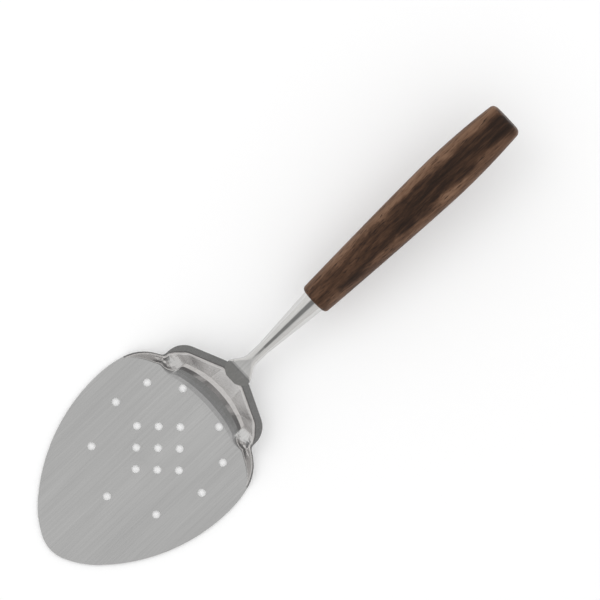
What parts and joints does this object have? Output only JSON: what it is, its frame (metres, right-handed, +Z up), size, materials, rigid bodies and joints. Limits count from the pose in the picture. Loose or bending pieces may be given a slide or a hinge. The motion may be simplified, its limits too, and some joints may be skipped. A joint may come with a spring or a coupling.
{
  "type": "fish spatula",
  "caption": "Fish spatula with a perforated steel blade, a shank rolled from sheet steel and a walnut handle.",
  "frame": {"origin": "on the blade's underside, on its centre line, in the middle of the bare patch between the first drain hole behind the tip and the grid of holes", "axes": "+X along the tool from the tip towards the handle, +Z up out of the blade's upper face, +Y completes the right-handed frame"},
  "size_m": [0.3199, 0.0966, 0.0402],
  "materials": {
    "blade_steel": "brushed along the tool",
    "shank_steel": "polished",
    "walnut": "oiled"
  },
  "bodies": {
    "root": {"blade": "blade_steel", "shank": "shank_steel", "handle": "walnut", "handle_pin": "shank_steel"}
  },
  "joints": []
}
